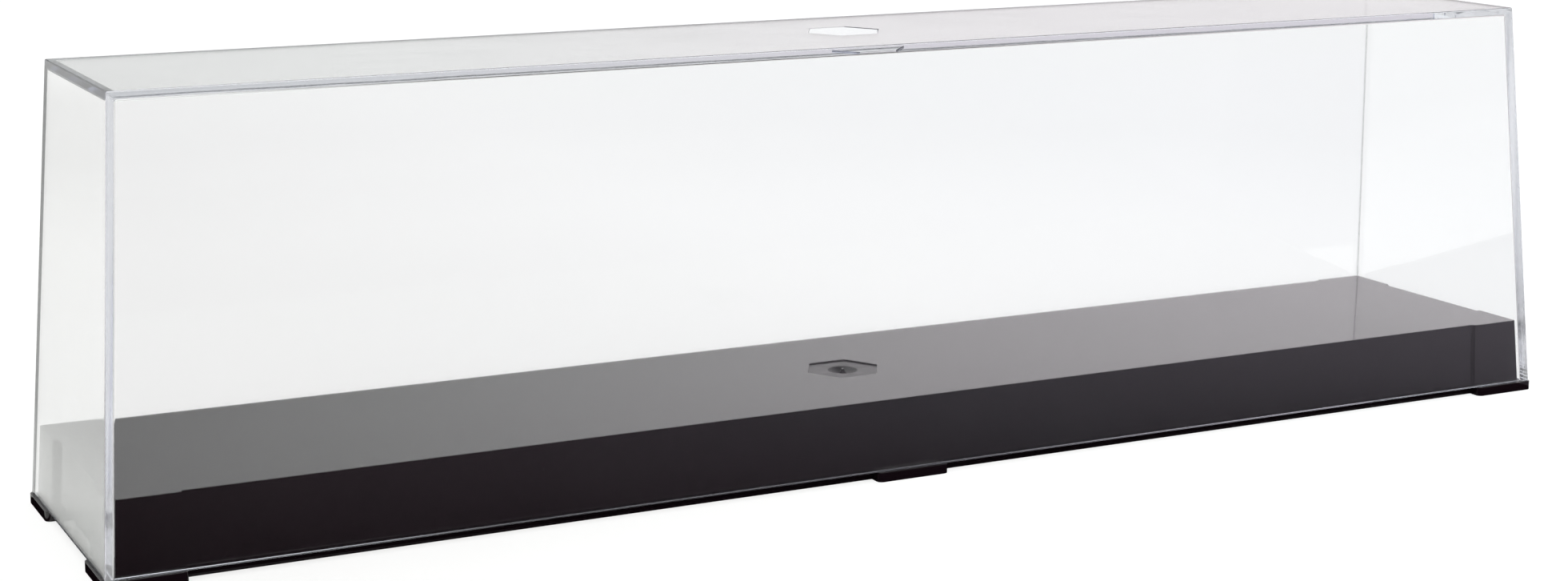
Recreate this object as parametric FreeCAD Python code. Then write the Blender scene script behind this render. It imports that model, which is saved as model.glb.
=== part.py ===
import FreeCAD, Part
import math
import os
from FreeCAD import Vector

# Display case for a model train: a black moulded base, a clear moulded cover that drops
# over its plinth, and a blank hexagonal label in the cover's roof.
# Millimetres. +Z is up, +X runs along the case, and the origin is the middle of the
# footprint, on the surface that the case stands on.

# Draft of every moulded wall
DRAFT_ANGLE = 4.0
DRAFT = math.tan(math.radians(DRAFT_ANGLE))

# Clear cover, outside, at its rim
COVER_LENGTH = 350.0
COVER_WIDTH = 67.0
COVER_HEIGHT = 91.8
COVER_WALL = 1.7
COVER_ROOF = 1.8
COVER_OUTER_EDGE = 0.3
COVER_INNER_EDGE = 0.4

# Pads under the cover's rim, on the base
PAD_THICKNESS = 2.2
PAD_OVERHANG = 0.5
CORNER_PAD = 16.5
CENTRE_PAD_LENGTH = 17.5
PAD_CORNER = 1.2

# Plinth inside the cover
PLINTH_RISE = 15.0
COVER_CLEARANCE = 0.45
FACE_RECESS_FRONT = 0.8
FACE_RECESS_END = 1.0
BLOCK_CORNER = 0.6
PLINTH_EDGE = 0.1

# Hollow under the base
BASE_WALL = 2.0
DECK_THICKNESS = 2.2
RIB_COUNT = 3
RIB_THICKNESS = 1.5
RIB_FOOT_GAP = 4.0

# Hexagonal recess in the roof and in the deck, across its flats
HEXAGON_FLATS = 15.4
HEXAGON_DEPTH = 0.3

# Round dish in the deck's hexagon, and the broken-off gate of the moulding in it
DISH_DIAMETER = 7.2
DISH_DEPTH = 1.0
GATE_FOOT_DIAMETER = 1.8
GATE_TIP_DIAMETER = 0.5
GATE_HEIGHT = 1.25
GATE_ROOT = 0.3

# Label in the roof's hexagon
LABEL_GAP = 0.2
LABEL_THICKNESS = 0.15

# Heights above the table
RIM_Z = PAD_THICKNESS
DECK_Z = RIM_Z + PLINTH_RISE
ROOF_Z = RIM_Z + COVER_HEIGHT
CEILING_Z = ROOF_Z - COVER_ROOF

# How far a cutting shape runs past what it cuts, and how close two heights count as equal
CUT_MARGIN = 1.0
SAME_HEIGHT = 1e-4


def flat_face(corners):
    """A flat face through the given corners."""
    return Part.Face(Part.makePolygon(list(corners) + [corners[0]]))


def drafted_block(half_length, half_width, bottom_z, top_z, reference_z):
    """A solid with four drafted sides; the half sizes hold at reference_z."""
    levels = []
    for z in (bottom_z, top_z):
        inset = (z - reference_z) * DRAFT
        x = half_length - inset
        y = half_width - inset
        levels.append([Vector(-x, -y, z), Vector(x, -y, z), Vector(x, y, z), Vector(-x, y, z)])
    bottom, top = levels
    faces = [flat_face(bottom[::-1]), flat_face(top)]
    for corner in range(4):
        following = (corner + 1) % 4
        faces.append(flat_face([bottom[corner], bottom[following], top[following], top[corner]]))
    shell = Part.Shell(faces)
    shell.sewShape()
    return Part.Solid(shell)


def box_between(low, high):
    """A box from its lowest corner to its highest."""
    size = [high[i] - low[i] for i in range(3)]
    return Part.makeBox(size[0], size[1], size[2], Vector(*low))


def hexagon_prism(across_flats, bottom_z, top_z):
    """A hexagonal prism on the Z axis with two of its corners on the X axis."""
    radius = across_flats / math.sqrt(3.0)
    corners = []
    for step in range(6):
        angle = math.radians(60.0 * step)
        corners.append(Vector(radius * math.cos(angle), radius * math.sin(angle), bottom_z))
    outline = Part.makePolygon(corners + corners[:1])
    return Part.Face(outline).extrude(Vector(0, 0, top_z - bottom_z))


def side_edges(shape):
    """The edges that run up the corners of a block."""
    return [edge for edge in shape.Edges if edge.BoundBox.ZLength > SAME_HEIGHT]


def edges_at(shape, z):
    """The edges that lie flat at one height."""
    flat = []
    for edge in shape.Edges:
        box = edge.BoundBox
        if abs(box.ZMin - z) < SAME_HEIGHT and abs(box.ZMax - z) < SAME_HEIGHT:
            flat.append(edge)
    return flat


def gate_dish(floor_z):
    """The shallow round dish below a floor, as the ball cap that cuts it."""
    radius = DISH_DIAMETER / 2
    ball_radius = (radius * radius + DISH_DEPTH * DISH_DEPTH) / (2 * DISH_DEPTH)
    lowest_z = floor_z - DISH_DEPTH
    ball = Part.makeSphere(ball_radius, Vector(0, 0, lowest_z + ball_radius))
    below_floor = box_between((-radius, -radius, lowest_z), (radius, radius, floor_z))
    return ball.common(below_floor)


def gate_stub(floor_z):
    """The broken-off gate that stands in the dish, with a root in the deck."""
    root_z = floor_z - DISH_DEPTH - GATE_ROOT
    height = GATE_HEIGHT + GATE_ROOT
    return Part.makeCone(GATE_FOOT_DIAMETER / 2, GATE_TIP_DIAMETER / 2, height, Vector(0, 0, root_z))


def make_cover():
    """The clear cover: drafted walls, a roof and the recess for the label."""
    half_length = COVER_LENGTH / 2
    half_width = COVER_WIDTH / 2
    outside = drafted_block(half_length, half_width, RIM_Z, ROOF_Z, RIM_Z)
    outside = outside.makeFillet(COVER_OUTER_EDGE, side_edges(outside) + edges_at(outside, ROOF_Z))
    inside_length = half_length - COVER_WALL
    inside_width = half_width - COVER_WALL
    inside = drafted_block(inside_length, inside_width, RIM_Z - CUT_MARGIN, CEILING_Z, RIM_Z)
    inside = inside.makeFillet(COVER_INNER_EDGE, side_edges(inside) + edges_at(inside, CEILING_Z))
    recess = hexagon_prism(HEXAGON_FLATS, ROOF_Z - HEXAGON_DEPTH, ROOF_Z + CUT_MARGIN)
    return outside.cut(inside).cut(recess)


def pad_outer_x():
    """How far the pads reach along X."""
    return COVER_LENGTH / 2 + PAD_OVERHANG


def pad_outer_y():
    """How far the pads reach along Y."""
    return COVER_WIDTH / 2 + PAD_OVERHANG


def corner_block(side_x, side_y):
    """One corner block, from the table to the deck, with its outer corner rounded."""
    half_length = COVER_LENGTH / 2 - COVER_WALL - COVER_CLEARANCE
    half_width = COVER_WIDTH / 2 - COVER_WALL - COVER_CLEARANCE
    whole = drafted_block(half_length, half_width, 0, DECK_Z, RIM_Z)
    whole = whole.makeFillet(BLOCK_CORNER, side_edges(whole))
    inner_x = pad_outer_x() - CORNER_PAD
    inner_y = pad_outer_y() - CORNER_PAD
    reach = COVER_LENGTH
    low_x, high_x = sorted((side_x * inner_x, side_x * reach))
    low_y, high_y = sorted((side_y * inner_y, side_y * reach))
    return whole.common(box_between((low_x, low_y, 0), (high_x, high_y, DECK_Z)))


def corner_pad(side_x, side_y):
    """One square pad under a corner of the cover's rim."""
    outer_x = side_x * pad_outer_x()
    outer_y = side_y * pad_outer_y()
    low_x, high_x = sorted((outer_x, outer_x - side_x * CORNER_PAD))
    low_y, high_y = sorted((outer_y, outer_y - side_y * CORNER_PAD))
    pad = box_between((low_x, low_y, 0), (high_x, high_y, PAD_THICKNESS))
    exposed = [
        edge for edge in side_edges(pad)
        if math.isclose(edge.Vertexes[0].X, outer_x) or math.isclose(edge.Vertexes[0].Y, outer_y)
    ]
    return pad.makeFillet(PAD_CORNER, exposed)


def centre_pad(side_y):
    """One pad under the middle of a long side of the rim."""
    outer_y = side_y * pad_outer_y()
    inner_y = outer_y - side_y * CORNER_PAD / 2
    half = CENTRE_PAD_LENGTH / 2
    low_y, high_y = sorted((outer_y, inner_y))
    pad = box_between((-half, low_y, 0), (half, high_y, PAD_THICKNESS))
    exposed = [edge for edge in side_edges(pad) if math.isclose(edge.Vertexes[0].Y, outer_y)]
    return pad.makeFillet(PAD_CORNER, exposed)


def hollow(face_length, face_width):
    """The space under the deck, with the cross ribs left standing in it."""
    half_length = face_length - BASE_WALL
    half_width = face_width - BASE_WALL
    space = drafted_block(half_length, half_width, -CUT_MARGIN, DECK_Z - DECK_THICKNESS, RIM_Z)
    spacing = 2 * half_length / (RIB_COUNT + 1)
    for number in range(RIB_COUNT):
        middle = (number - (RIB_COUNT - 1) / 2) * spacing
        rib = box_between(
            (middle - RIB_THICKNESS / 2, -COVER_WIDTH, RIB_FOOT_GAP),
            (middle + RIB_THICKNESS / 2, COVER_WIDTH, DECK_Z),
        )
        space = space.cut(rib)
    return space


def make_base():
    """The base: plinth, corner blocks, pads, deck recess and the hollow underneath."""
    face_length = COVER_LENGTH / 2 - COVER_WALL - COVER_CLEARANCE - FACE_RECESS_END
    face_width = COVER_WIDTH / 2 - COVER_WALL - COVER_CLEARANCE - FACE_RECESS_FRONT
    solid = drafted_block(face_length, face_width, 0, DECK_Z, RIM_Z)
    corners = [(side_x, side_y) for side_x in (-1, 1) for side_y in (-1, 1)]
    solid = solid.fuse([corner_block(side_x, side_y) for side_x, side_y in corners]).removeSplitter()
    solid = solid.makeFillet(PLINTH_EDGE, edges_at(solid, DECK_Z))
    pads = [corner_pad(side_x, side_y) for side_x, side_y in corners]
    pads += [centre_pad(side_y) for side_y in (-1, 1)]
    solid = solid.fuse(pads).removeSplitter()
    solid = solid.cut(hollow(face_length, face_width))
    floor_z = DECK_Z - HEXAGON_DEPTH
    solid = solid.cut(hexagon_prism(HEXAGON_FLATS, floor_z, DECK_Z + CUT_MARGIN))
    return solid.cut(gate_dish(floor_z)).fuse(gate_stub(floor_z))


def make_label():
    """The blank label, a little smaller than its recess and flat on its floor."""
    floor_z = ROOF_Z - HEXAGON_DEPTH
    return hexagon_prism(HEXAGON_FLATS - 2 * LABEL_GAP, floor_z, floor_z + LABEL_THICKNESS)


def main():
    """Write each piece to its own file."""
    os.makedirs("parts", exist_ok=True)
    pieces = {
        "display_base": make_base(),
        "clear_cover": make_cover(),
        "top_label": make_label(),
    }
    for name, shape in pieces.items():
        solid = shape.Solids[0]
        print(name, "solids", len(shape.Solids), "valid", solid.isValid(), solid.BoundBox)
        solid.exportStep("parts/" + name + ".step")


main()
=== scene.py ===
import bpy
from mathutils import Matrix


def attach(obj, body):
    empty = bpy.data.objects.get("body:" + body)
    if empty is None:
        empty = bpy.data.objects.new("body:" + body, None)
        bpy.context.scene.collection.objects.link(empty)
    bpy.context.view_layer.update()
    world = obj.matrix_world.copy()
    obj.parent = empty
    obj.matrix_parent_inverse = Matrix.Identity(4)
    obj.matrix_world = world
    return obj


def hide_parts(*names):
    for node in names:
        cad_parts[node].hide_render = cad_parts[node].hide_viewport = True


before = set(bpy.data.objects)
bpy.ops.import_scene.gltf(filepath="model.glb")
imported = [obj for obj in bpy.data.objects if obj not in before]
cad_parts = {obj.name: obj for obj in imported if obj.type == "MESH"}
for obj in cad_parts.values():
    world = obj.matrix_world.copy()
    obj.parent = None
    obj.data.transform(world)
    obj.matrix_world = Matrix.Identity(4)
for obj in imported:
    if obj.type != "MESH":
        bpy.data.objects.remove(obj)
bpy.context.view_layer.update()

import math

import bmesh
import bpy
from mathutils import Matrix, Vector

# Dressed model train display case: a clear moulded cover over a black moulded plinth.
# Shapes are worked out in millimetres and scaled to metres when each piece is finished.
MM = 0.001

# Draft of every moulded wall, in degrees
DRAFT_ANGLE = 4.0
DRAFT = math.tan(math.radians(DRAFT_ANGLE))

# Clear cover, outside, at its rim
COVER_LENGTH = 350.0
COVER_WIDTH = 67.0
COVER_WALL = 1.7
ROOF_THICKNESS = 1.8
RIM_Z = 2.2
ROOF_Z = 94.0
OUTER_EDGE = 0.3
INNER_EDGE = 0.4
RIM_EDGE = 0.2

# Plinth: half sizes at the rim's height, of the corner blocks and of the faces between them
COVER_CLEARANCE = 0.45
FACE_RECESS_END = 1.0
FACE_RECESS_FRONT = 0.8
DECK_Z = 17.2
DECK_THICKNESS = 2.2
BLOCK_X = COVER_LENGTH / 2 - COVER_WALL - COVER_CLEARANCE
BLOCK_Y = COVER_WIDTH / 2 - COVER_WALL - COVER_CLEARANCE
FACE_X = BLOCK_X - FACE_RECESS_END
FACE_Y = BLOCK_Y - FACE_RECESS_FRONT
BASE_WALL = 2.0
BLOCK_CORNER = 0.6
STEP_EDGE = 0.1
DECK_EDGE = 0.1

# Pads that carry the cover's rim
PAD_OVERHANG = 0.5
CORNER_PAD = 16.5
CENTRE_PAD_LENGTH = 17.5
PAD_X = COVER_LENGTH / 2 + PAD_OVERHANG
PAD_Y = COVER_WIDTH / 2 + PAD_OVERHANG
PAD_INNER_X = PAD_X - CORNER_PAD
PAD_INNER_Y = PAD_Y - CORNER_PAD
CENTRE_PAD_X = CENTRE_PAD_LENGTH / 2
PAD_CORNER = 1.2

# Cross ribs in the hollow underneath
RIB_SPACING = (FACE_X - BASE_WALL) / 2
RIB_HALF = 0.75
RIB_FOOT_Z = 4.0

# Hexagonal recesses, and the dish and gate stub in the lower one
HEXAGON_FLATS = 15.4
HEXAGON_DEPTH = 0.3
HEXAGON_EDGE = 0.08
DISH_RADIUS = 3.6
DISH_DEPTH = 1.0
GATE_FOOT_RADIUS = 0.9
GATE_TIP_RADIUS = 0.25
GATE_HEIGHT = 1.25

# Label, just clear of the floor of the upper recess
LABEL_GAP = 0.2
LABEL_LIFT = 0.02
LABEL_THICKNESS = 0.15

# How finely round shapes are divided
CORNER_STEPS = 5
STEP_EDGE_STEPS = 3
FINE_EDGE_STEPS = 2
DISH_SIDES = 48
DISH_RINGS = 6

# How close two places count as the same, how long an edge is that runs up a wall, the room
# for its lean, and how far a place is pulled in for a test of what is inside
NEAR = 0.01
WALL_RISE = 1.0
LEAN_ROOM = 1.0
PULL_IN = 0.99

# The angle from which two faces meet sharply, and the one below which they count as one
SHARP = math.radians(40)
FLAT = math.radians(0.2)

# Refraction of both plastics
POLYSTYRENE_IOR = 1.59

# How far the studio floor reaches from the case, in metres, and how often light may bounce,
# because it has to get through many walls of the cover
FLOOR_REACH = 8.0
BOUNCES = 64


# Shapes


def level(items, z):
    """Those vertices, or those edges or faces whose every corner, lie at one height."""
    return [i for i in items if all(abs(v.co.z - z) < NEAR for v in getattr(i, "verts", [i]))]


def once_each(items):
    """Those items without repeats, in an order that is the same in every run."""
    return list(dict.fromkeys(items))


def middle(item):
    """The middle of an edge or a face."""
    return sum((v.co for v in item.verts), Vector()) / len(item.verts)


def upright(bm):
    """The edges that run up a wall."""
    return [e for e in bm.edges if abs(e.verts[0].co.z - e.verts[1].co.z) > WALL_RISE]


def sharp(edge):
    """Whether two faces meet at a clear angle."""
    return edge.calc_face_angle(0.0) > SHARP


def outer(edges):
    """Those sharp edges that stick out, not the ones in an inner corner."""
    return [e for e in edges if sharp(e) and e.is_convex]


def on_line(edge, axis, line):
    """Whether the middle of an edge is at one distance from the middle of the case."""
    return abs(abs(middle(edge)[axis]) - line) < NEAR


def round_off(bm, edges, radius, segments):
    """Rounds edges as a mould's own corners are."""
    bmesh.ops.bevel(
        bm, geom=edges, offset=radius, affect="EDGES", segments=segments, profile=0.5, material=-1,
    )


def raise_faces(bm, faces, height):
    """Pulls a flat region of faces straight up or down, with a wall round it."""
    edges = once_each(e for f in faces for e in f.edges)
    corners = once_each(v for f in faces for v in f.verts)
    pulled = bmesh.ops.extrude_face_region(bm, geom=faces + edges + corners)["geom"]
    verts = [g for g in pulled if isinstance(g, bmesh.types.BMVert)]
    bmesh.ops.translate(bm, verts=verts, vec=(0, 0, height))


def carry_loop(bm, edges, scale, height):
    """Extends a loop of edges about the Z axis and gives the new loop."""
    pulled = bmesh.ops.extrude_edge_only(bm, edges=edges)["geom"]
    verts = [g for g in pulled if isinstance(g, bmesh.types.BMVert)]
    bmesh.ops.scale(bm, verts=verts, vec=(scale, scale, 1))
    bmesh.ops.translate(bm, verts=verts, vec=(0, 0, height))
    return [g for g in pulled if isinstance(g, bmesh.types.BMEdge)]


def ring(bm, sides, radius, z):
    """A loop of edges about the Z axis with a corner on the X axis."""
    turn = Matrix.Translation((0, 0, z)) @ Matrix.Rotation(math.radians(90), 4, "Z")
    verts = bmesh.ops.create_circle(bm, segments=sides, radius=radius, matrix=turn)["verts"]
    return once_each(e for v in verts for e in v.link_edges)


def hexagon_hole(bm, z):
    """Opens the flat face at one height for a hexagonal recess, and gives its two loops."""
    flat = max(level(bm.faces, z), key=lambda face: face.calc_area())
    border = list(flat.edges)
    bmesh.ops.delete(bm, geom=[flat], context="FACES_ONLY")
    mouth = ring(bm, 6, HEXAGON_FLATS / math.sqrt(3), z)
    bmesh.ops.triangle_fill(bm, use_beauty=True, edges=border + mouth, normal=(0, 0, 1))
    return mouth, carry_loop(bm, mouth, 1.0, -HEXAGON_DEPTH)


def gate_dish(bm, border, floor_z):
    """Closes a recess's floor round a shallow round dish with the broken-off gate in it."""
    loop = ring(bm, DISH_SIDES, DISH_RADIUS, floor_z)
    bmesh.ops.triangle_fill(bm, use_beauty=True, edges=border + loop, normal=(0, 0, 1))
    ball = (DISH_RADIUS ** 2 + DISH_DEPTH ** 2) / (2 * DISH_DEPTH)
    radius, height = DISH_RADIUS, math.sqrt(ball ** 2 - DISH_RADIUS ** 2)
    for step in range(1, DISH_RINGS + 1):
        smaller = DISH_RADIUS + (GATE_FOOT_RADIUS - DISH_RADIUS) * step / DISH_RINGS
        lower = math.sqrt(ball ** 2 - smaller ** 2)
        loop = carry_loop(bm, loop, smaller / radius, height - lower)
        radius, height = smaller, lower
    loop = carry_loop(bm, loop, GATE_TIP_RADIUS / GATE_FOOT_RADIUS, GATE_HEIGHT)
    bmesh.ops.contextual_create(bm, geom=loop)


def drafted_block(bm, length, width, low_z, high_z):
    """A block whose four sides lean in by the draft, measured across its foot."""
    verts = bmesh.ops.create_cube(bm, size=1.0)["verts"]
    bmesh.ops.scale(bm, verts=verts, vec=(length, width, high_z - low_z))
    bmesh.ops.translate(bm, verts=verts, vec=(0, 0, (high_z + low_z) / 2))
    lean = 2 * DRAFT * (high_z - low_z)
    top = level(verts, high_z)
    bmesh.ops.scale(bm, verts=top, vec=(1 - lean / length, 1 - lean / width, 1))


def cover_shape():
    """The clear cover: walls and roof from two drafted blocks, joined at the rim."""
    bm = bmesh.new()
    drafted_block(bm, COVER_LENGTH, COVER_WIDTH, RIM_Z, ROOF_Z)
    round_off(bm, upright(bm) + level(bm.edges, ROOF_Z), OUTER_EDGE, CORNER_STEPS)
    outside = set(bm.faces)
    inner_length = COVER_LENGTH - 2 * COVER_WALL
    inner_width = COVER_WIDTH - 2 * COVER_WALL
    ceiling_z = ROOF_Z - ROOF_THICKNESS
    drafted_block(bm, inner_length, inner_width, RIM_Z, ceiling_z)
    inside = [f for f in bm.faces if f not in outside]
    edges = once_each(e for f in inside for e in f.edges)
    corners = [e for e in upright(bm) if e in edges] + level(edges, ceiling_z)
    round_off(bm, corners, INNER_EDGE, CORNER_STEPS)
    inside = [f for f in bm.faces if f not in outside]
    bmesh.ops.reverse_faces(bm, faces=inside)
    bmesh.ops.delete(bm, geom=level(bm.faces, RIM_Z), context="FACES_ONLY")
    rims = level(bm.edges, RIM_Z)
    bmesh.ops.bridge_loops(bm, edges=rims)
    round_off(bm, rims, RIM_EDGE, FINE_EDGE_STEPS)
    mouth, floor = hexagon_hole(bm, ROOF_Z)
    bmesh.ops.contextual_create(bm, geom=floor)
    round_off(bm, mouth + floor, HEXAGON_EDGE, FINE_EDGE_STEPS)
    return bm


def in_plinth(spot):
    """Whether a place in the plan is inside the plinth or one of its corner blocks."""
    x, y = abs(spot.x), abs(spot.y)
    core = x < FACE_X and y < FACE_Y
    block = PAD_INNER_X < x < BLOCK_X and PAD_INNER_Y < y < BLOCK_Y
    return core or block


def in_pad(spot):
    """Whether a place in the plan is inside one of the six pads."""
    x, y = abs(spot.x), abs(spot.y)
    return (x > PAD_INNER_X and y > PAD_INNER_Y) or (x < CENTRE_PAD_X and y > PAD_INNER_Y)


def in_hollow(spot):
    """Whether a place in the plan is inside the hollow underneath."""
    return abs(spot.x) < FACE_X - BASE_WALL and abs(spot.y) < FACE_Y - BASE_WALL


def in_rib(spot):
    """Whether a place in the plan is inside one of the three cross ribs."""
    return min(abs(abs(spot.x) - RIB_SPACING), abs(spot.x)) < RIB_HALF


def lean_in(bm, z, reach_x, reach_y, amount):
    """Moves the walls through one height inwards by the draft, on the lines given."""
    for axis, lines in ((0, reach_x), (1, reach_y)):
        for line in lines:
            for side in (-1, 1):
                verts = [v for v in level(bm.verts, z) if abs(v.co[axis] - side * line) < NEAR]
                shift = Vector()
                shift[axis] = -side * amount
                bmesh.ops.translate(bm, verts=verts, vec=shift)


def base_plan():
    """The footprint of the base as flat faces, divided wherever a wall stands on it."""
    bm = bmesh.new()
    bmesh.ops.create_grid(bm, x_segments=1, y_segments=1, size=1)
    bmesh.ops.scale(bm, verts=bm.verts, vec=(PAD_X, PAD_Y, 1))
    walls_x = (BLOCK_X, FACE_X, FACE_X - BASE_WALL, PAD_INNER_X)
    ribs_x = (RIB_SPACING + RIB_HALF, RIB_SPACING - RIB_HALF, CENTRE_PAD_X, RIB_HALF)
    walls_y = (BLOCK_Y, FACE_Y, FACE_Y - BASE_WALL, PAD_INNER_Y)
    cuts = [(0, x) for x in walls_x + ribs_x] + [(1, y) for y in walls_y]
    for axis, line in cuts:
        for side in (-1, 1):
            normal = Vector((0, 0, 0))
            normal[axis] = side
            geom = bm.verts[:] + bm.edges[:] + bm.faces[:]
            bmesh.ops.bisect_plane(bm, geom=geom, plane_co=normal * line, plane_no=normal)
    spare = [f for f in bm.faces if not (in_plinth(middle(f)) or in_pad(middle(f)))]
    bmesh.ops.delete(bm, geom=spare, context="FACES")
    return bm


def on_block(edge):
    """Whether an edge is as far out both ways as the faces between the corner blocks."""
    spot = middle(edge)
    return min(abs(spot.x) - FACE_X, abs(spot.y) - FACE_Y) > -LEAN_ROOM


def base_shape():
    """The black base: pads, plinth with corner blocks, hollow and ribs, deck recess."""
    bm = base_plan()
    hollow = (FACE_X - BASE_WALL,), (FACE_Y - BASE_WALL,)
    ceiling_z = DECK_Z - DECK_THICKNESS
    raise_faces(bm, bm.faces[:], RIM_Z)
    raise_faces(bm, [f for f in level(bm.faces, RIM_Z) if in_plinth(middle(f))], DECK_Z - RIM_Z)
    raise_faces(bm, [f for f in level(bm.faces, 0) if in_hollow(middle(f))], RIB_FOOT_Z)
    pockets = [f for f in level(bm.faces, RIB_FOOT_Z) if not in_rib(middle(f))]
    raise_faces(bm, pockets, ceiling_z - RIB_FOOT_Z)
    lean_in(bm, DECK_Z, (BLOCK_X, FACE_X), (BLOCK_Y, FACE_Y), DRAFT * (DECK_Z - RIM_Z))
    for z in (0, RIB_FOOT_Z, ceiling_z):
        lean_in(bm, z, *hollow, DRAFT * (z - RIM_Z))
    lean_in(bm, 0, (FACE_X,), (FACE_Y,), -DRAFT * RIM_Z)
    # The foot is a flat ring, which can't be one face, so it keeps a seam in front and behind
    seams = [e for e in level(bm.edges, 0) if all(abs(v.co.x - RIB_HALF) < NEAR for v in e.verts)]
    joints = [e for e in bm.edges if e not in seams]
    bmesh.ops.dissolve_limit(bm, angle_limit=FLAT, verts=bm.verts[:], edges=joints)

    outline = [e for e in upright(bm) if not in_hollow(middle(e) * PULL_IN)]
    pads = [e for e in outline if on_line(e, 0, PAD_X) or on_line(e, 1, PAD_Y)]
    blocks = [e for e in outline if e not in pads and on_block(e)]
    round_off(bm, blocks, BLOCK_CORNER, CORNER_STEPS)
    round_off(bm, pads, PAD_CORNER, CORNER_STEPS)
    steps = [e for e in upright(bm) if not in_hollow(middle(e) * PULL_IN) and sharp(e)]
    feet = outer(level(bm.edges, RIM_Z)) + outer(level(bm.edges, 0))
    round_off(bm, steps + feet, STEP_EDGE, STEP_EDGE_STEPS)
    round_off(bm, outer(level(bm.edges, DECK_Z)), DECK_EDGE, STEP_EDGE_STEPS)
    mouth, floor = hexagon_hole(bm, DECK_Z)
    gate_dish(bm, floor, DECK_Z - HEXAGON_DEPTH)
    round_off(bm, mouth, HEXAGON_EDGE, FINE_EDGE_STEPS)
    return bm


def label_shape():
    """The blank label on the floor of the roof's recess."""
    bm = bmesh.new()
    foot_z = ROOF_Z - HEXAGON_DEPTH + LABEL_LIFT
    edge = ring(bm, 6, (HEXAGON_FLATS - 2 * LABEL_GAP) / math.sqrt(3), foot_z)
    bmesh.ops.contextual_create(bm, geom=edge)
    raise_faces(bm, bm.faces[:], LABEL_THICKNESS)
    bmesh.ops.recalc_face_normals(bm, faces=bm.faces)
    return bm


# Materials


def linear(code):
    """A colour written as sRGB hex, turned to linear light."""
    channels = [int(code[i:i + 2], 16) / 255 for i in (1, 3, 5)]
    return [c / 12.92 if c <= 0.04045 else ((c + 0.055) / 1.055) ** 2.4 for c in channels] + [1.0]


def add(tree, kind, settings=None, links=None):
    """Adds a node with its settings, by socket or property, and its links."""
    node = tree.nodes.new(kind)
    for name, value in (settings or {}).items():
        if isinstance(name, int) or name in node.inputs:
            node.inputs[name].default_value = value
        else:
            setattr(node, name, value)
    for name, source in (links or {}).items():
        tree.links.new(source, node.inputs[name])
    return node


def empty_material(name):
    """A material with nothing in it yet but its output."""
    material = bpy.data.materials.new(name)
    material.use_nodes = True
    material.node_tree.nodes.clear()
    return material, material.node_tree


def object_place(tree):
    """Where a place is on its piece, in metres."""
    return add(tree, "ShaderNodeTexCoord").outputs["Object"]


def axes_of(tree, place):
    """The X, Y and Z of a place or a direction."""
    return add(tree, "ShaderNodeSeparateXYZ", links={"Vector": place}).outputs


def ramp(tree, value, low, high, first, last):
    """A level that goes evenly from one to another as a value does."""
    return add(tree, "ShaderNodeMapRange", {
        "From Min": low, "From Max": high, "To Min": first, "To Max": last,
    }, {"Value": value}).outputs["Result"]


def between(tree, factor, first, second):
    """A level between two others, each of them a number or a socket."""
    mix = add(tree, "ShaderNodeMix", {"data_type": "FLOAT"}, {"Factor": factor})
    for socket, source in (("A", first), ("B", second)):
        if isinstance(source, float):
            mix.inputs[socket].default_value = source
        else:
            tree.links.new(source, mix.inputs[socket])
    return mix.outputs["Result"]


def blend(tree, factor, first, second):
    """A colour between two others, each of them sRGB hex or a socket."""
    mix = add(tree, "ShaderNodeMix", {"data_type": "RGBA"}, {0: factor})
    for socket, source in ((6, first), (7, second)):
        if isinstance(source, str):
            mix.inputs[socket].default_value = linear(source)
        else:
            tree.links.new(source, mix.inputs[socket])
    return mix.outputs[2]


def product(tree, first, second):
    """Two levels multiplied."""
    return add(tree, "ShaderNodeMath", {"operation": "MULTIPLY"}, {0: first, 1: second}).outputs[0]


def most(tree, first, *others):
    """The largest of some levels."""
    for other in others:
        first = add(tree, "ShaderNodeMath", {"operation": "MAXIMUM"}, {0: first, 1: other}).outputs[0]
    return first


def at_rim(tree, height, reach):
    """Where a place would be at the foot of the case, if it went down along the draft."""
    return add(tree, "ShaderNodeMath", {"operation": "MULTIPLY_ADD", 1: DRAFT}, {
        0: height, 2: reach,
    }).outputs[0]


def noise(tree, place, scale, detail, stretch=(1, 1, 1)):
    """Soft noise, with its scale per metre and its detail."""
    spot = add(tree, "ShaderNodeMapping", {"Scale": stretch}, {"Vector": place}).outputs[0]
    pattern = add(tree, "ShaderNodeTexNoise", {"Scale": scale, "Detail": detail}, {"Vector": spot})
    return pattern.outputs[0]


def relief(tree, height, depth, normal=None):
    """A bump of a real depth in metres."""
    links = {"Height": height}
    if normal:
        links["Normal"] = normal
    return add(tree, "ShaderNodeBump", {"Distance": depth}, links).outputs["Normal"]


def from_middle(tree, place):
    """The distance from the upright line through the middle of the case."""
    flat = add(tree, "ShaderNodeVectorMath", {"operation": "MULTIPLY", 1: (1, 1, 0)}, {0: place})
    length = add(tree, "ShaderNodeVectorMath", {"operation": "LENGTH"}, {0: flat.outputs[0]})
    return length.outputs["Value"]


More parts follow.
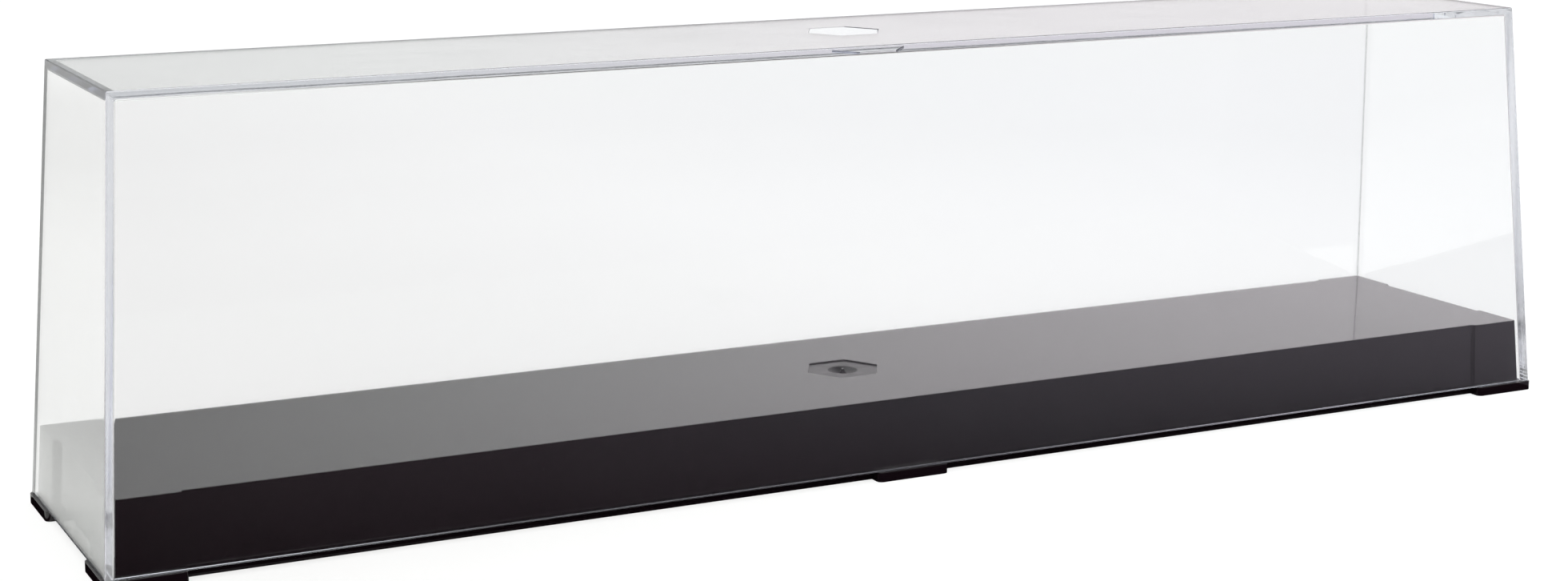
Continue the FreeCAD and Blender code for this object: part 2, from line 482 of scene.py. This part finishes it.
def clear_polystyrene():
    """Polished, injection-moulded polystyrene: water clear, with a faint blue-grey in its edges."""
    material, tree = empty_material("clear_polystyrene_polished")
    place = object_place(tree)
    size = add(tree, "ShaderNodeVectorMath", {"operation": "ABSOLUTE"}, {0: place}).outputs[0]
    axes = axes_of(tree, size)
    # Slow waves from the mould, some 20 mm apart, and finer ones on them, some 4 mm apart
    flow = relief(tree, noise(tree, place, 45.0, 1.0), 0.00002)
    ripple = relief(tree, noise(tree, place, 260.0, 1.0), 0.0000015, flow)
    end = at_rim(tree, axes["Z"], axes["X"])
    side = at_rim(tree, axes["Z"], axes["Y"])
    at_end = ramp(tree, end, 0.1732, 0.1736, 0.0, 1.0)
    at_side = ramp(tree, side, 0.0317, 0.0321, 0.0, 1.0)
    corner = product(tree, at_end, at_side)
    # Rub marks low on the end walls, from putting the cover on: 2 mm wide and 5 mm high
    streaks = noise(tree, place, 500.0, 4.0, (1, 1, 0.4))
    low = ramp(tree, axes["Z"], 0.003, 0.014, 1.0, 0.0)
    end_face = ramp(tree, end, 0.1741, 0.1746, 0.0, 1.0)
    foot = product(tree, low, end_face)
    rubbed = product(tree, ramp(tree, streaks, 0.45, 0.75, 0.0, 0.1), foot)
    # Worn corners, as high as the plinth, and a faint haze elsewhere, in patches of 30 mm
    worn = product(tree, corner, ramp(tree, axes["Z"], 0.012, 0.022, 1.0, 0.0))
    worn = product(tree, worn, ramp(tree, streaks, 0.35, 0.65, 0.12, 0.26))
    smudged = ramp(tree, noise(tree, place, 30.0, 4.0), 0.45, 0.7, 0.0002, 0.0014)
    haze = most(tree, rubbed, worn, smudged)
    rough = most(tree, ramp(tree, haze, 0.0, 0.1, 0.03, 0.12), ramp(tree, corner, 0.0, 1.0, 0.0, 0.1))
    shader = add(tree, "ShaderNodeBsdfPrincipled", {
        "Base Color": linear("#FEFEFE"), "IOR": POLYSTYRENE_IOR,
    }, {
        "Normal": ripple, "Roughness": rough,
        "Transmission Weight": ramp(tree, haze, 0.0, 1.0, 1.0, 0.0),
    })
    depth = add(tree, "ShaderNodeVolumeAbsorption", {"Color": linear("#B4C0EE"), "Density": 3.0})
    add(tree, "ShaderNodeOutputMaterial", links={
        "Surface": shader.outputs["BSDF"], "Volume": depth.outputs["Volume"],
    })
    return material


def black_polystyrene():
    """Glossy, injection-moulded black polystyrene, with the matt mark that the gate left."""
    material, tree = empty_material("black_polystyrene_gloss")
    place = object_place(tree)
    axes = axes_of(tree, place)
    # The recess in the deck, by height and by distance from its middle: floor, dish and gate
    spread = from_middle(tree, place)
    below_deck = ramp(tree, axes["Z"], 0.01700, 0.01705, 1.0, 0.0)
    above_hollow = ramp(tree, axes["Z"], 0.0148, 0.0150, 0.0, 1.0)
    sunk = product(tree, below_deck, above_hollow)
    floor = product(tree, sunk, ramp(tree, spread, 0.0091, 0.0093, 0.3, 0.0))
    dish = product(tree, sunk, ramp(tree, spread, 0.0034, 0.0036, 0.42, 0.0))
    stub = product(tree, sunk, ramp(tree, spread, 0.0009, 0.001, 0.6, 0.0))
    # Waves from the mould, some 17 mm apart, and scratches along the case, which are drawn
    # coarser than they are: 1.4 mm wide and 24 mm long
    flow = relief(tree, noise(tree, place, 60.0, 2.0), 0.00001)
    scratches = noise(tree, place, 700.0, 2.0, (0.06, 1, 1))
    surface = relief(tree, scratches, 0.0000006, flow)
    # Specks of dust on the deck, some 8 mm apart and up to 0.5 mm wide
    cells = add(tree, "ShaderNodeTexVoronoi", {"Scale": 120.0}, {"Vector": place}).outputs["Distance"]
    specks = ramp(tree, cells, 0.02, 0.035, 1.0, 0.0)
    dust = product(tree, specks, ramp(tree, axes["Z"], 0.0170, 0.0171, 0.0, 1.0))
    # Smudges in patches of 40 mm, a little less glossy
    smudges = ramp(tree, noise(tree, place, 25.0, 5.0), 0.4, 0.7, 0.035, 0.075)
    shader = add(tree, "ShaderNodeBsdfPrincipled", {"IOR": POLYSTYRENE_IOR}, {
        "Base Color": blend(tree, dust, "#110A0E", "#8E8A86"),
        "Roughness": most(tree, smudges, floor, dish, stub), "Normal": surface,
    })
    add(tree, "ShaderNodeOutputMaterial", links={"Surface": shader.outputs["BSDF"]})
    return material


def white_label():
    """Coated label paper, blank, with fibres 0.6 mm wide and 1.4 mm long."""
    material, tree = empty_material("label_paper_coated")
    fibres = noise(tree, object_place(tree), 1800.0, 4.0, (1, 0.4, 1))
    shader = add(tree, "ShaderNodeBsdfPrincipled", links={
        "Base Color": blend(tree, ramp(tree, fibres, 0.35, 0.65, 0.0, 1.0), "#ECEDF0", "#F6F7F8"),
        "Roughness": ramp(tree, fibres, 0.3, 0.7, 0.35, 0.5),
        "Normal": relief(tree, fibres, 0.000004),
    })
    add(tree, "ShaderNodeOutputMaterial", links={"Surface": shader.outputs["BSDF"]})
    return material


# Pieces


def finish_piece(bm, name, material, body, node):
    """Turns a shape in millimetres into a piece that rides on its body."""
    bmesh.ops.scale(bm, verts=bm.verts, vec=(MM, MM, MM))
    mesh = bpy.data.meshes.new(name)
    for face in bm.faces:
        face.smooth = True
    for edge in bm.edges:
        edge.smooth = not sharp(edge)
    bm.to_mesh(mesh)
    bm.free()
    mesh.materials.append(material)
    piece = bpy.data.objects.new(name, mesh)
    bpy.context.scene.collection.objects.link(piece)
    even = piece.modifiers.new("even_shading", "WEIGHTED_NORMAL")
    even.weight = 100
    even.keep_sharp = True
    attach(piece, body)
    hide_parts(node)


finish_piece(
    cover_shape(), "cover_shell", clear_polystyrene(), "cover", "clear_cover",
)
finish_piece(
    base_shape(), "plinth_base", black_polystyrene(), "base", "display_base",
)
finish_piece(label_shape(), "blank_label", white_label(), "cover", "top_label")

# Studio floor, with a painted reflection: the case mirrors it as a table that is dark in front and
# white behind


def front_floor(tree, near, place):
    """How bright the floor in front of the case is mirrored: darker to the left."""
    away = add(tree, "ShaderNodeVectorMath", {"operation": "NORMALIZE"}, {0: place}).outputs[0]
    far_level = ramp(tree, axes_of(tree, away)["X"], 0.15, 0.6, 0.03, 0.35)
    near_level = ramp(tree, near["X"], -0.2, 0.3, 0.025, 0.36)
    return between(tree, ramp(tree, near["Y"], -0.6, -0.25, 1.0, 0.0), near_level, far_level)


def back_floor(tree, distance):
    """How bright the floor behind the case is mirrored, by the distance from its middle."""
    close = ramp(tree, distance, 0.19, 0.4, 0.97, 0.0)
    further = ramp(tree, distance, 0.45, 0.65, 0.79, 0.7)
    far = ramp(tree, distance, 0.88, 1.1, 0.7, 0.9)
    return most(tree, further, far, close)


def beyond_pads(tree, place):
    """How far a place is outside the pads, with six times the weight at the ends."""
    size = add(tree, "ShaderNodeVectorMath", {"operation": "ABSOLUTE"}, {0: place})
    pads = (PAD_X * MM, PAD_Y * MM, 0)
    beyond = add(tree, "ShaderNodeVectorMath", {"operation": "SUBTRACT", 1: pads}, {0: size.outputs[0]})
    wide = add(tree, "ShaderNodeVectorMath", {"operation": "MULTIPLY", 1: (6, 1, 0)}, {
        0: beyond.outputs[0],
    })
    gap = axes_of(tree, wide.outputs[0])
    return most(tree, gap["X"], gap["Y"])


def light_below(tree, near):
    """How much light gets in under the rim, by the place along the case: most at the ends."""
    left_end = ramp(tree, near["X"], -0.171, -0.152, 1.0, 0.0)
    left = ramp(tree, near["X"], -0.152, -0.07, 0.38, 0.04)
    right = ramp(tree, near["X"], 0.03, 0.13, 0.03, 0.2)
    right_end = ramp(tree, near["X"], 0.166, 0.172, 0.0, 1.0)
    return most(tree, left_end, left, right, right_end)


def pale_floor():
    """Pale matt studio floor, whose glow has painted shade under the case."""
    material, tree = empty_material("pale_studio_floor")
    place = object_place(tree)
    near = axes_of(tree, place)
    distance = add(tree, "ShaderNodeVectorMath", {"operation": "LENGTH"}, {0: place}).outputs["Value"]
    outside = beyond_pads(tree, place)
    below = light_below(tree, near)

    # Seen straight, it is evenly white; its glow is painted light, a little brighter to the right, and
    # under the case it is cut to painted shade, so it lights the cover's rim less from under the case
    rays = add(tree, "ShaderNodeLightPath").outputs
    matt = add(tree, "ShaderNodeBsdfDiffuse", {"Color": linear("#909090")})
    along = ramp(tree, near["X"], -0.14, 0.09, 0.76, 0.85)
    glow = product(tree, along, ramp(tree, distance, 0.3, 0.5, 1.0, 0.93))
    clear_of_pads = ramp(tree, outside, -0.001, 0.0, 0.0, 1.0)
    glow = product(tree, glow, most(tree, below, clear_of_pads, rays["Is Camera Ray"]))
    cast = blend(tree, ramp(tree, near["X"], -0.1, 0.35, 0.0, 1.0), "#FFFFFE", "#FCFEFF")
    lit = add(tree, "ShaderNodeEmission", links={"Strength": glow, "Color": cast})
    pale = add(tree, "ShaderNodeAddShader", links={0: matt.outputs[0], 1: lit.outputs[0]})

    # As the case mirrors it, in painted reflection colours, with a painted contact shadow round the
    # pads
    behind = ramp(tree, near["Y"], -0.0345, -0.0335, 0.0, 1.0)
    mirrored = between(tree, behind, front_floor(tree, near, place), back_floor(tree, distance))
    under = product(tree, ramp(tree, outside, -0.001, 0.0, 1.0, 0.0), below)
    # Painted contact shadow: the mirrored floor is dark within 10 mm of the pads, and under the rim it
    # takes the painted light from below
    away = ramp(tree, outside, 0.010, 0.015, 0.0, 1.0)
    clear_of_painted_shadow = most(tree, away, under, ramp(tree, near["Y"], 0.037, 0.040, 0.0, 1.0))
    front_tint = blend(tree, ramp(tree, near["X"], -0.2, 0.05, 0.0, 1.0), "#FFD4E8", "#F8EFFF")
    tinted = add(tree, "ShaderNodeVectorMath", {"operation": "SCALE"}, {
        0: blend(tree, behind, front_tint, "#FFFFFD"), "Scale": product(tree, mirrored, clear_of_painted_shadow),
    })
    dark = add(tree, "ShaderNodeBsdfDiffuse", links={"Color": tinted.outputs[0]})

    in_mirror = add(tree, "ShaderNodeMath", {"operation": "GREATER_THAN", 1: 0.5}, {
        0: rays["Glossy Depth"],
    })
    mix = add(tree, "ShaderNodeMixShader", links={
        0: in_mirror.outputs[0], 1: pale.outputs[0], 2: dark.outputs["BSDF"],
    })
    add(tree, "ShaderNodeOutputMaterial", links={"Surface": mix.outputs["Shader"]})
    return material


floor_mesh = bpy.data.meshes.new("studio_floor")
bm = bmesh.new()
bmesh.ops.create_grid(bm, x_segments=1, y_segments=1, size=FLOOR_REACH)
bm.to_mesh(floor_mesh)
bm.free()
floor_mesh.materials.append(pale_floor())
studio_floor = bpy.data.objects.new("studio_floor", floor_mesh)
bpy.context.scene.collection.objects.link(studio_floor)


def low_light(tree, axes):
    """The surroundings near the horizon: a dim room in front, and white paper behind."""
    room = ramp(tree, axes["X"], 0.15, 0.6, 0.03, 0.35)
    front = between(tree, ramp(tree, axes["Z"], 0.065, 0.12, 0.0, 1.0), room, 1.25)
    horizon = ramp(tree, axes["X"], 0.15, 0.75, 0.71, 0.78)
    softbox = ramp(tree, axes["X"], 0.15, 0.75, 0.48, 1.45)
    back = between(tree, ramp(tree, axes["Z"], 0.065, 0.1, 0.0, 1.0), 1.0, horizon)
    back = between(tree, ramp(tree, axes["Z"], 0.11, 0.2, 0.0, 1.0), back, softbox)
    return between(tree, ramp(tree, axes["Y"], -0.6, -0.1, 0.0, 1.0), front, back)


def overhead_light(tree, axes):
    """The light from above, with a dim gap right of the middle that the cover's rim shows."""
    left = ramp(tree, axes["X"], 0.2, 0.34, 1.0, 0.0)
    right = ramp(tree, axes["X"], 0.5, 0.62, 0.0, 0.4)
    off_middle = add(tree, "ShaderNodeMath", {"operation": "ABSOLUTE"}, {0: axes["Y"]}).outputs[0]
    front_and_back = ramp(tree, off_middle, 0.65, 0.8, 0.0, 1.0)
    return ramp(tree, most(tree, left, right, front_and_back), 0.0, 1.0, 0.0, 1.55)


world = bpy.data.worlds.new("soft_studio_light")
bpy.context.scene.world = world
world.use_nodes = True
tree = world.node_tree
tree.nodes.clear()
axes = axes_of(tree, add(tree, "ShaderNodeTexCoord").outputs["Generated"])
climb = ramp(tree, axes["Z"], 0.25, 0.8, 0.0, 1.0)
sky = add(tree, "ShaderNodeBackground", links={
    "Strength": between(tree, climb, low_light(tree, axes), overhead_light(tree, axes)),
    "Color": blend(tree, ramp(tree, axes["X"], 0.3, 0.5, 0.0, 1.0), "#FDFFFE", "#FFFBFE"),
})
add(tree, "ShaderNodeOutputWorld", links={"Surface": sky.outputs["Background"]})

# Camera, from solving the photograph's straight edges: its turns are in radians

camera_data = bpy.data.cameras.new("photo_camera")
camera_data.sensor_width = 36.0
camera_data.lens = 60.31
camera_data.clip_start = 0.02
camera_data.clip_end = 50.0
camera = bpy.data.objects.new("photo_camera", camera_data)
pitch, roll, yaw = -0.2110, -0.0018, -0.4717
turn = Matrix.Rotation(yaw, 4, "Z") @ Matrix.Rotation(pitch, 4, "X") @ Matrix.Rotation(roll, 4, "Y")
look_ahead = Matrix.Rotation(math.radians(90), 4, "X")
position = Vector((-275.58, -511.59, 159.63)) * MM
camera.matrix_world = Matrix.Translation(position) @ turn @ look_ahead
bpy.context.scene.collection.objects.link(camera)
bpy.context.scene.camera = camera

bpy.context.scene.view_settings.view_transform = "Standard"
bpy.context.scene.cycles.max_bounces = BOUNCES
bpy.context.scene.cycles.transmission_bounces = BOUNCES
bpy.context.scene.cycles.glossy_bounces = BOUNCES
